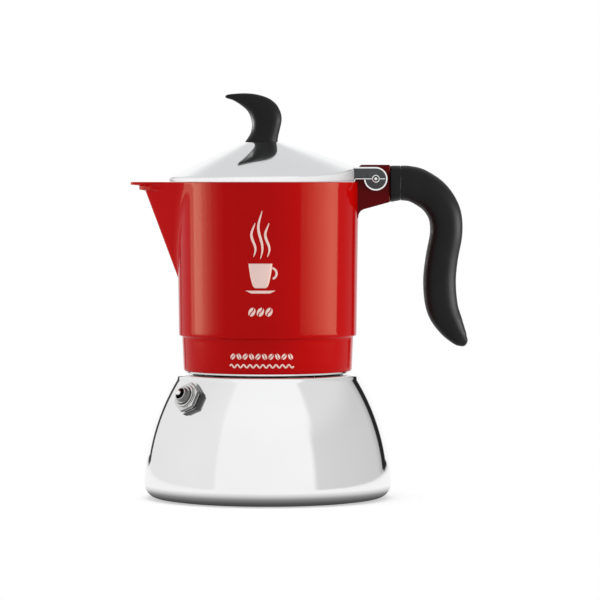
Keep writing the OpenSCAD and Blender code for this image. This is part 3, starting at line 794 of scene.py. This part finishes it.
def lid_cone():
    """Rings round the crease and up the slightly bulging cone to the knob's seat."""
    rings = []
    for a in (20, 40, 62):
        drop, inset = 1 - math.sin(math.radians(a)), 1 - math.cos(math.radians(a))
        rings.append(lid_ring(LID_R - LID_EDGE_R * inset, lambda turn: crease_z(turn) - LID_EDGE_R * drop))
    start_r = LID_R - LID_EDGE_R * 0.62
    for share in evenly(0, 1, 30)[1:]:
        rise = LID_BULGE * math.sin(math.pi * share) - 0.05
        rings.append(lid_ring(start_r + (LID_SEAT_R - start_r) * share,
                              lambda turn: crease_z(turn) + (LID_TOP_Z - crease_z(turn)) * share + rise))
    return rings


def lid():
    """The lid: a skewed cone over a satin skirt."""
    underside, skirt = lid_underside(), lid_skirt()
    tips = [(LID_CENTRE_X, 0, LID_TOP_Z - LID_SHEET), (LID_CENTRE_X, 0, LID_TOP_Z)]
    verts, faces = tube(underside + skirt + lid_cone(), tips)
    first, end = len(underside), len(underside) + len(skirt) - 1
    finish = [int(first <= i // LID_COLUMNS < end) for i in range(len(faces))]
    piece("lid_cone", verts, faces, "lid", "polished_aluminium", [LID_METAL, SKIRT_METAL], finish,
          replaces=["lid"], crease=40)


def ribbon(loops, y0, y1):
    """Points and faces of a strip between two lines in the XZ plane, drawn out along Y."""
    n = len(loops[0])
    verts = [(x, y, z) for y in (y0, y1) for loop in loops for x, z in loop]
    faces = []
    for k in range(n - 1):
        m = k + 1
        faces += [(k, m, n + m, n + k), (2 * n + k, 3 * n + k, 3 * n + m, 2 * n + m),
                  (k, 2 * n + k, 2 * n + m, m), (n + k, n + m, 3 * n + m, 3 * n + k)]
    for k in (0, n - 1):
        faces.append((k, n + k, 3 * n + k, 2 * n + k))
    return verts, faces


def ear(side):
    """A lid ear: a flat plate in near-black painted shade, with a dimple, a bright raised edge round the
    pin, and a fold.
    """
    end = "front" if side < 0 else "back"
    outer = EAR_OUT * side
    face = outer - EAR_RAISED * side
    outline = [(LID_CUT_X + 0.02, PIN_Z - 0.2), (LID_CUT_X + 0.02, PIN_Z + EAR_R)]
    outline += arc(PIN_X, PIN_Z, EAR_R, 90, -178, 40)
    plate = piece(f"lid_ear_{end}", *extruded(outline, EAR_IN * side, face), "lid", "polished_aluminium",
                  [EAR_PAINTED_SHADE])
    soften(plate, 0.2, 2)
    dimple = arc(PIN_X - 4.3, PIN_Z + 2.2, 0.7, 0, 345, 23)
    cut(plate, *extruded(dimple, face - 0.3 * side, face + side))
    foot = face - 0.05 * side
    rim = [[(LID_CUT_X - 0.6, PIN_Z + r)] + arc(PIN_X, PIN_Z, r, 90, -176, 48)
           for r in (EAR_R, EAR_R - EAR_RIM)]
    edge = piece(f"ear_edge_{end}", *ribbon(rim, foot, outer), "lid", "polished_aluminium", [EDGE_METAL])
    soften(edge, 0.12, 2)
    fold = [[(LID_CUT_X + 0.3, PIN_Z + z), (PIN_X + 4.7, PIN_Z + z)] for z in (-0.2, 0.15)]
    piece(f"ear_fold_{end}", *ribbon(fold, foot, face + 0.15 * side), "lid", "polished_aluminium",
          [EDGE_METAL])


def hinge_pin():
    """The hinge's rivet, with a ring pressed in each head; the ring's groove is painted shade."""
    head = [(0, 10.3), (0.75, 10.3), (0.9, 10.15), (0.95, 9.95), (1.25, 9.95), (1.3, 10.25), (1.45, 10.58),
            (1.75, 10.58), (1.95, 10.4), (2.05, 9.8), (1.5, 9.7)]
    profile = head + [(r, -z) for r, z in reversed(head)]
    verts, faces, rows = turned(profile, even_turns(48), closed=False)
    groove = row_shades(profile, rows, lambda r, z, steep: 0.8 < r < 1.35 and abs(z) > 9.8)
    place = Matrix.Translation((PIN_X, 0, PIN_Z)) @ Matrix.Rotation(math.radians(90), 4, "X")
    piece("hinge_rivet", verts, faces, "lid", "valve_metal", [VALVE_METAL, HOLLOW_SHADE], groove,
          replaces=["hinge_pin"], place=place)


def knob():
    """The horn-shaped knob."""
    form = lofted(KNOB_STATIONS, steps=6, sides=64, power=2.7, inset=KNOB_INSET)
    piece("horn_knob", *form, "lid", "black_plastic", [BLACK], crease=GRIP_CREASE, replaces=["knob"])


# ---- safety valve

VALVE_AZIMUTH = -137
VALVE_TILT = 25
VALVE_Z = 51.2
VALVE_PLACE = (
    Matrix.Rotation(math.radians(VALVE_AZIMUTH), 4, "Z")
    @ Matrix.Translation((bell_radius(VALVE_Z), 0, VALVE_Z))
    @ Matrix.Rotation(math.radians(90 - VALVE_TILT), 4, "Y")
)
VALVE_FLATS = 13.35
PAD_FLATS = 14.55
HEX_TURN = math.radians(-6)
VALVE_CREASE = 24
PIN_R = 1.3
SPRING_LOW, SPRING_HIGH = -5.6, 3.0


def hexagon_radius(turn, flats):
    """Radius of a hexagon at a turn, from its size over the flats."""
    sixth = TAU / 6
    off = (turn - HEX_TURN + sixth / 2) % sixth - sixth / 2
    return flats / 2 / math.cos(sixth / 2 - abs(off))


def valve_part(name, profile, metals, finish=None, slot="valve_metal", flats=None, replaces=()):
    """A turned piece on the valve's axis, trimmed to a hexagon if flats gives its size.
    finish(r, z, steep) gives the number of a face's metal; dark ones are painted reflection and shade."""
    def trimmed(r, z, turn, row):
        return min(r, hexagon_radius(turn, flats))

    verts, faces, rows = turned(profile, even_turns(144), trimmed if flats else None)
    shades = row_shades(profile, rows, finish) if finish else None
    piece(name, verts, faces, "boiler", slot, metals, shades, crease=VALVE_CREASE, replaces=replaces,
          place=VALVE_PLACE)


def valve_pad():
    """The hexagonal boss welded to the boiler's wall; its sides and chamfer are painted dark reflection."""
    pad = [(5.05, -1.7), (8.5, -1.7), (8.5, 1.1), (8.15, 1.38), (5.05, 1.38)]
    valve_part("valve_pad", pad, [STEEL, PAD_PAINTED_REFLECTION], lambda r, z, steep: r > 8.2 and z > -1.6,
               slot="polished_steel", flats=PAD_FLATS)


def valve_seal():
    """The seal between the boss and the hexagon."""
    seal = [(5.05, 1.4), (6.35, 1.4), (6.48, 1.5), (6.48, 1.8), (6.35, 1.9), (5.05, 1.9)]
    valve_part("valve_seal_ring", seal, [SEAL], slot="valve_seal", replaces=["valve_washer"])


def valve_hexagon():
    """The valve's body: threaded shank, hexagon and round boss; its steep faces above the seal are painted
    dark reflection.
    """
    shank = [(5.0 - 0.35 * (k % 2), -8.8 + 0.5 * k) for k in range(19)]
    body = [(1.7, -9), (4.6, -9)] + shank + [(5.0, 1.4), (5.0, 1.91), (7.4, 1.91), (7.8, 2.1), (7.8, 3.75)]
    body += [(7.3, 4.1), (6.75, 4.3), (6.05, 4.3), (5.85, 4.4), (5.8, 4.55), (5.8, 5.2), (5.6, 5.4)]
    body += [(5.0, 5.4), (4.75, 5.3), (4.55, 5.1), (4.53, 3.0), (3.0, 3.0), (3.0, -7.0), (1.7, -7.0)]
    valve_part("valve_hexagon", body, [VALVE_METAL, VALVE_PAINTED_REFLECTION], lambda r, z, steep: steep and z > 1.9,
               flats=VALVE_FLATS, replaces=["valve_body"])


def valve_nozzle():
    """The stepped insert in the valve's front; its steep faces are painted dark reflection, and the inside
    of its bore painted shade.
    """
    nozzle = [(1.36, 3.02), (4.47, 3.02), (4.47, 5.8), (4.3, 5.98), (3.75, 6.0), (3.6, 6.15), (3.47, 7.6)]
    nozzle += [(3.2, 7.98), (2.85, 7.98), (2.7, 7.8), (2.7, 6.25), (1.36, 6.2)]
    valve_part("valve_insert", nozzle, [VALVE_METAL, VALVE_PAINTED_REFLECTION, HOLLOW_SHADE],
               lambda r, z, steep: 2 if r < 2.75 and z > 4 else steep, replaces=["valve_nozzle"])


def relief_pin():
    """The pin that the spring holds on its seat, with its round end in the nozzle."""
    pin = [(0, -7), (2.5, -7), (2.65, -6.85), (2.65, -5.75), (2.5, SPRING_LOW), (PIN_R, SPRING_LOW)]
    pin += [(PIN_R, 9.2)] + arc(0, 9.2, PIN_R, 8, 82, 8) + [(0, 9.2 + PIN_R)]
    verts, faces, _ = turned(pin, even_turns(48), closed=False)
    piece("relief_pin", verts, faces, "relief_pin", "valve_metal", [EDGE_METAL], crease=VALVE_CREASE,
          replaces=["valve_pin"], place=VALVE_PLACE)


def spring():
    """A coil of round wire, squeezed between the nozzle and the pin's flange."""
    wire_r, coil_r, coils, sides = 0.3, 2.15, 6, 12
    low, high = SPRING_LOW + wire_r, SPRING_HIGH - wire_r
    rings = []
    for share in evenly(0, 1, coils * 40):
        a = TAU * coils * share
        z = low + (high - low) * share
        section = arc(coil_r, z, wire_r, 0, 360, sides)[:-1]
        rings.append([(r * math.cos(a), r * math.sin(a), up) for r, up in section])
    made = piece("relief_spring", *tube(rings), "boiler", "valve_metal", [VALVE_METAL],
                 replaces=["valve_spring"], place=VALVE_PLACE)
    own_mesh(made)


# ---- printed emblem

PRINT_LIFT = 0.05
PRINT_DEPTH = 0.1
EMBLEM_U = -3.2
WISPS = [(-3.4, 121.5, 138), (0, 120.5, 144), (3.4, 121.5, 138)]
EMBLEM_BEAN_Z, EMBLEM_BEAN_GAP = 94.5, 4.2
BAND_BEANS, BAND_BEAN_Z, BAND_BEAN_GAP = 10, 72.6, 3.2
WAVE_Z, WAVE_HALF_LENGTH, WAVE_HEIGHT, WAVES = 67.9, 16, 0.75, 10
BAND_U = -2.8


def printed(name, grids, radius):
    """Flat shapes laid on the casting's round front, whose radius is a function of the height.
    A grid is rows of (u, z), where u is the way round from -Y."""
    verts, faces = [], []
    for grid in grids:
        base, width = len(verts), len(grid[0])
        for row in grid:
            for u, z in row:
                r = radius(z) + PRINT_LIFT
                turn = -math.pi / 2 + u / r
                verts.append((r * math.cos(turn), r * math.sin(turn), z))
        for i in range(len(grid) - 1):
            for k in range(width - 1):
                a = base + i * width + k
                faces.append((a, a + 1, a + width + 1, a + width))
    made = piece(name, verts, faces, "collector", "red_enamel", [PRINT])
    solid = made.modifiers.new("thickness", "SOLIDIFY")
    solid.thickness = PRINT_DEPTH * MM
    solid.offset = -1


def stroke(points, width):
    """A ribbon along points; width is a function of the share of the way."""
    rows = []
    last = len(points) - 1
    for i, (u, z) in enumerate(points):
        a, b = points[max(i - 1, 0)], points[min(i + 1, last)]
        du, dz = b[0] - a[0], b[1] - a[1]
        size = math.hypot(du, dz)
        half = width(i / last) / 2
        rows.append([(u - dz / size * half * side, z + du / size * half * side) for side in (-1, 0, 1)])
    return rows


def patch(u, low, high, half_width, rows, columns):
    """A shape with u in its middle; half_width is a function of the share of its height."""
    grid = []
    for share in evenly(0, 1, rows):
        half, z = half_width(share), low + (high - low) * share
        grid.append([(across, z) for across in evenly(u - half, u + half, columns)])
    return grid


def bean(u, z, length, breadth, tilt):
    """A coffee bean: two halves with a wavy gap between them."""
    halves = []
    c, s = math.cos(tilt), math.sin(tilt)
    for side in (-1, 1):
        rows = []
        for share in evenly(-1, 1, 12):
            gap = (0.10 * math.sin(math.pi * share) + side * 0.09) * breadth
            edge = side * 0.49 * breadth * math.sqrt(1 - share * share)
            if abs(edge) < abs(gap):
                edge = gap
            v = share * length / 2
            rows.append([(u + h * c - v * s, z + h * s + v * c) for h in evenly(gap, edge, 3)])
        halves.append(rows)
    return halves


def emblem():
    """A plain cup on its saucer, with three wisps of steam and three beans under it."""
    grids = []
    for off, low, high in WISPS:
        points = [(EMBLEM_U + off + math.sin(TAU * 1.15 * share), low + (high - low) * share)
                  for share in evenly(0, 1, 36)]
        grids.append(stroke(points, lambda share: 0.25 + math.sin(math.pi * share) ** 0.7))
    grids.append(patch(EMBLEM_U, 106.2, 118.2, lambda share: 2.6 + 3.3 * share ** 0.45, rows=16, columns=8))
    grids.append(stroke(arc(EMBLEM_U + 5.2, 113.4, 2.7, -72, 78, 20), lambda share: 1.05))
    grids.append(patch(EMBLEM_U, 103.6, 105.0, lambda share: 4.588 + 2.812 * share, rows=4, columns=12))
    for k in (-1, 0, 1):
        grids += bean(EMBLEM_U + EMBLEM_BEAN_GAP * k, EMBLEM_BEAN_Z, 4.6, 3.3, -0.45)
    printed("cup_emblem", grids, body_radius)


def collar_radius(z):
    """Outer radius of the collar at a height."""
    return 42.03 + 0.72 * (z - COLLAR_Z - 1) / (STEP_Z - 2 - COLLAR_Z)


def collar_band():
    """A row of beans over a fine wave, round the front of the collar."""
    grids = []
    for k in range(BAND_BEANS):
        u = BAND_U + BAND_BEAN_GAP * (k - (BAND_BEANS - 1) / 2)
        grids += bean(u, BAND_BEAN_Z, 3.2, 2.3, 0.55 if k % 2 else -0.55)
    wave = [(BAND_U + WAVE_HALF_LENGTH * share, WAVE_Z + WAVE_HEIGHT * math.sin(math.pi * WAVES * share))
            for share in evenly(-1, 1, 120)]
    grids.append(stroke(wave, lambda share: 0.75))
    printed("collar_pattern", grids, collar_radius)


# ---- carried-over CAD nodes

FINISHES = {
    "base_disc": BASE_STEEL, "valve_nut": VALVE_METAL,
    "funnel_basket": SHEET, "funnel_stem": SHEET, "funnel_screen": SHEET, "gasket": SILICONE,
    "filter_plate": SHEET, "coffee_column": SHEET, "handle_screw": VALVE_METAL,
    "knob_washer": VALVE_METAL, "knob_screw": VALVE_METAL,
}


def finish_cad_nodes():
    """Gives the hidden CAD parts their materials."""
    for name, finish in FINISHES.items():
        kept = frame["nodes"][name].data
        kept.materials.clear()
        kept.materials.append(finish)


# ---- stage, light and camera
# Distances here are in metres, except FLOOR_Z and FLOOR_RADII.

def ramp(tree, source, stops, interpolation="LINEAR"):
    """A grey ramp over 0..1 with stops of (position, level)."""
    greys = add(tree, "ShaderNodeValToRGB", {"Fac": source})
    greys.color_ramp.interpolation = interpolation
    elements = greys.color_ramp.elements
    for k, (at, level) in enumerate(stops):
        element = elements[k] if k < 2 else elements.new(at)
        element.position = at
        element.color = (level, level, level, 1)
    return greys.outputs["Color"]


LOW_PANELS = [
    (-180, 1.0), (-154.5, 1.0), (-153.3, 0.05), (-147.5, 0.05), (-146.3, 0.84), (-52, 0.86), (-48, 0.96),
    (43, 0.96), (48, 0.7), (128, 0.62), (137.5, 0.46), (138.6, 0.02), (149.6, 0.02), (151, 1.0), (180, 1.0),
]
HIGH_PANELS = [
    (-180, 0.74), (-140, 0.76), (-54, 0.88), (-48, 0.98), (47, 0.98), (53, 0.78), (140, 0.74), (180, 0.74),
]


def panels(tree, x, y, stops):
    """Grey levels round the horizon. A stop is (degrees, level); 0 is the front, + the handle's side."""
    back = add(tree, "ShaderNodeMath", {0: y, 1: -1}, operation="MULTIPLY").outputs[0]
    azimuth = add(tree, "ShaderNodeMath", {0: x, 1: back}, operation="ARCTAN2").outputs[0]
    share = add(tree, "ShaderNodeMapRange", {"Value": azimuth, "From Min": -math.pi, "From Max": math.pi})
    return ramp(tree, share.outputs["Result"], [((degrees + 180) / 360, level) for degrees, level in stops])


def blended(tree, share, a, b):
    """The mix of two colours."""
    mix = add(tree, "ShaderNodeMix", {"Factor": share, "A": a, "B": b}, data_type="RGBA")
    return mix.outputs["Result"]


def smooth_share(tree, source, low, high):
    """0 below low, 1 above high, and smooth between them."""
    share = add(tree, "ShaderNodeMapRange", {"Value": source, "From Min": low, "From Max": high},
                interpolation_type="SMOOTHSTEP")
    return share.outputs["Result"]


def choice(tree, share, first, second):
    """A mix of two shaders: the first where share is 0, the second where it is 1."""
    return add(tree, "ShaderNodeMixShader", {"Fac": share, 1: first, 2: second}).outputs["Shader"]


FLOOR_Z = -0.05
FLOOR_RADII = [0, 300, 900, 3000]
FLOOR_SHOWN = [(0.0605, 0.5), (0.09, 1.0)]
# Stops of a painted shadow that mirrors see on the floor, darkest under the pot.
FLOOR_PAINTED_SHADOW = [(0.055, 0.05), (0.061, 0.12), (0.0645, 0.42), (0.07, 0.68), (0.082, 0.86), (0.11, 0.96)]
FLOOR_NEAR, FLOOR_FAR = 0.25, 1.1


def mirrored_floor(tree, place, reach):
    """What the steel shows of the floor, as a glow: a painted shadow, dark under the pot, then pale, and
    far off the studio's panels.
    """
    near = ramp(tree, reach, FLOOR_PAINTED_SHADOW)
    x, y, _ = add(tree, "ShaderNodeSeparateXYZ", {"Vector": place}).outputs
    far = panels(tree, x, y, LOW_PANELS)
    colour = blended(tree, smooth_share(tree, reach, FLOOR_NEAR, FLOOR_FAR), near, far)
    return add(tree, "ShaderNodeEmission", {"Color": colour}).outputs["Emission"]


def floor_material():
    """Pale, and white away from the pot. Mirrors see the floor as mirrored_floor says."""
    pale, tree, shader = material("pale_floor")
    shader.inputs["Base Color"].default_value = (0.93, 0.93, 0.93, 1)
    shader.inputs["Roughness"].default_value = 0.9
    shader.inputs["Specular IOR Level"].default_value = 0.1
    place = add(tree, "ShaderNodeTexCoord").outputs["Object"]
    reach = add(tree, "ShaderNodeVectorMath", {0: place}, operation="LENGTH").outputs["Value"]
    glow = add(tree, "ShaderNodeEmission").outputs["Emission"]
    shown = choice(tree, ramp(tree, reach, FLOOR_SHOWN, "EASE"), shader.outputs["BSDF"], glow)
    mirrored = add(tree, "ShaderNodeLightPath").outputs["Is Glossy Ray"]
    surface = choice(tree, mirrored, shown, mirrored_floor(tree, place, reach))
    tree.links.new(surface, tree.nodes["Material Output"].inputs["Surface"])
    return pale


def floor():
    """A round floor just under the pot."""
    verts, faces, _ = turned([(r, FLOOR_Z) for r in FLOOR_RADII], even_turns(96), closed=False)
    made = mesh_object("floor", verts, faces)
    made.data.materials.append(floor_material())
    return made


HORIZON_LOW, HORIZON_HIGH = 0.36, 0.6


def studio_world():
    """White all round, with the greys and the thin dark gaps of a studio's panels near the horizon.
    The camera sees plain white."""
    world = bpy.data.worlds.new("studio")
    bpy.context.scene.world = world
    world.use_nodes = True
    tree = world.node_tree
    tree.nodes.clear()
    place = add(tree, "ShaderNodeTexCoord").outputs["Generated"]
    x, y, z = add(tree, "ShaderNodeSeparateXYZ", {"Vector": place}).outputs
    height = smooth_share(tree, z, HORIZON_LOW, HORIZON_HIGH)
    greys = blended(tree, height, panels(tree, x, y, LOW_PANELS), panels(tree, x, y, HIGH_PANELS))
    around = add(tree, "ShaderNodeBackground", {"Color": greys}).outputs["Background"]
    white = add(tree, "ShaderNodeBackground", {"Color": (1, 1, 1, 1)}).outputs["Background"]
    seen = add(tree, "ShaderNodeLightPath").outputs["Is Camera Ray"]
    add(tree, "ShaderNodeOutputWorld", {"Surface": choice(tree, seen, around, white)})


NEUTRAL = (1.0, 1.0, 1.0)
WARM = (1.0, 0.8, 0.53)
POT_MIDDLE = 0.1


def panel(name, azimuth, width, tall, radiance, lit, colour=NEUTRAL, distance=1.0, height=POT_MIDDLE):
    """A soft rectangular light that faces the pot's middle and lights only the objects in lit.
    Azimuth 0 is the front, and + is the handle's side."""
    light = bpy.data.lights.new(name, "AREA")
    light.shape = "RECTANGLE"
    light.size, light.size_y = width, tall
    light.energy = radiance * math.pi * width * tall
    light.color = colour
    made = bpy.data.objects.new(name, light)
    a = math.radians(azimuth)
    place = Vector((math.sin(a) * distance, -math.cos(a) * distance, height))
    made.location = place
    made.rotation_euler = (Vector((0, 0, POT_MIDDLE)) - place).to_track_quat("-Z", "Y").to_euler()
    made.visible_camera = False
    bpy.context.scene.collection.objects.link(made)
    group = bpy.data.collections.new(name)
    for obj in lit:
        group.objects.link(obj)
    made.light_linking.receiver_collection = group


STRIP_STEP = 8
STRIP_TALL = 0.26
LEFT_STRIPS = (-62, [0.8, 2.5, 6, 10.5, 16, 14, 4.5])
RIGHT_STRIPS = (46.5, [4, 7, 10, 13, 15.5, 16.5, 13])


def wearers(*finishes):
    """The objects with any of these finishes."""
    meshes = [o for o in bpy.context.scene.objects if o.type == "MESH"]
    return [o for o in meshes if any(m in finishes for m in o.data.materials)]


def lights(ground):
    """Rows of graded strips for the enamel, two panels for the plastic, one soft light for the floor."""
    enamelled = wearers(RED, SHADED_RED, PRINT)
    breadth = 2 * math.tan(math.radians(STRIP_STEP / 2))
    for side, (first, levels) in ((-1, LEFT_STRIPS), (1, RIGHT_STRIPS)):
        for k, level in enumerate(levels):
            azimuth = first + side * STRIP_STEP * k
            panel(f"strip_{azimuth:.0f}", azimuth, breadth, STRIP_TALL, level, enamelled, WARM)
    plastic = wearers(BLACK)
    panel("plastic_left", -116, width=0.6, tall=0.4, radiance=26, lit=plastic)
    panel("plastic_right", 80, width=0.9, tall=0.4, radiance=14, lit=plastic)
    panel("overhead", 0, width=1.2, tall=1.2, radiance=3.1, lit=[ground], distance=0.01, height=1.6)


CAMERA_LENS, CAMERA_SENSOR = 216, 36
CAMERA_DISTANCE = 1.8
AIM_ASIDE, AIM_Z = 0.0003, 0.099


def camera():
    """Level with the rim, from straight in front, with a long lens."""
    low, high = cad_bounds
    data = bpy.data.cameras.new("camera")
    data.sensor_width = CAMERA_SENSOR
    data.lens = CAMERA_LENS
    made = bpy.data.objects.new("camera", data)
    aim = Vector(((low.x + high.x) / 2 + AIM_ASIDE, 0, AIM_Z))
    made.location = (aim.x, -CAMERA_DISTANCE, RIM_Z * MM)
    made.rotation_euler = (aim - made.location).to_track_quat("-Z", "Y").to_euler()
    bpy.context.scene.collection.objects.link(made)
    bpy.context.scene.camera = made


camera()
boiler()
valve_pad()
valve_seal()
valve_hexagon()
valve_nozzle()
relief_pin()
spring()
collector()
lug()
tang()
grip()
sleeve()
lid()
ear(-1)
ear(1)
hinge_pin()
knob()
emblem()
collar_band()
finish_cad_nodes()
studio_world()
lights(floor())
bpy.context.scene.view_settings.view_transform = "Standard"
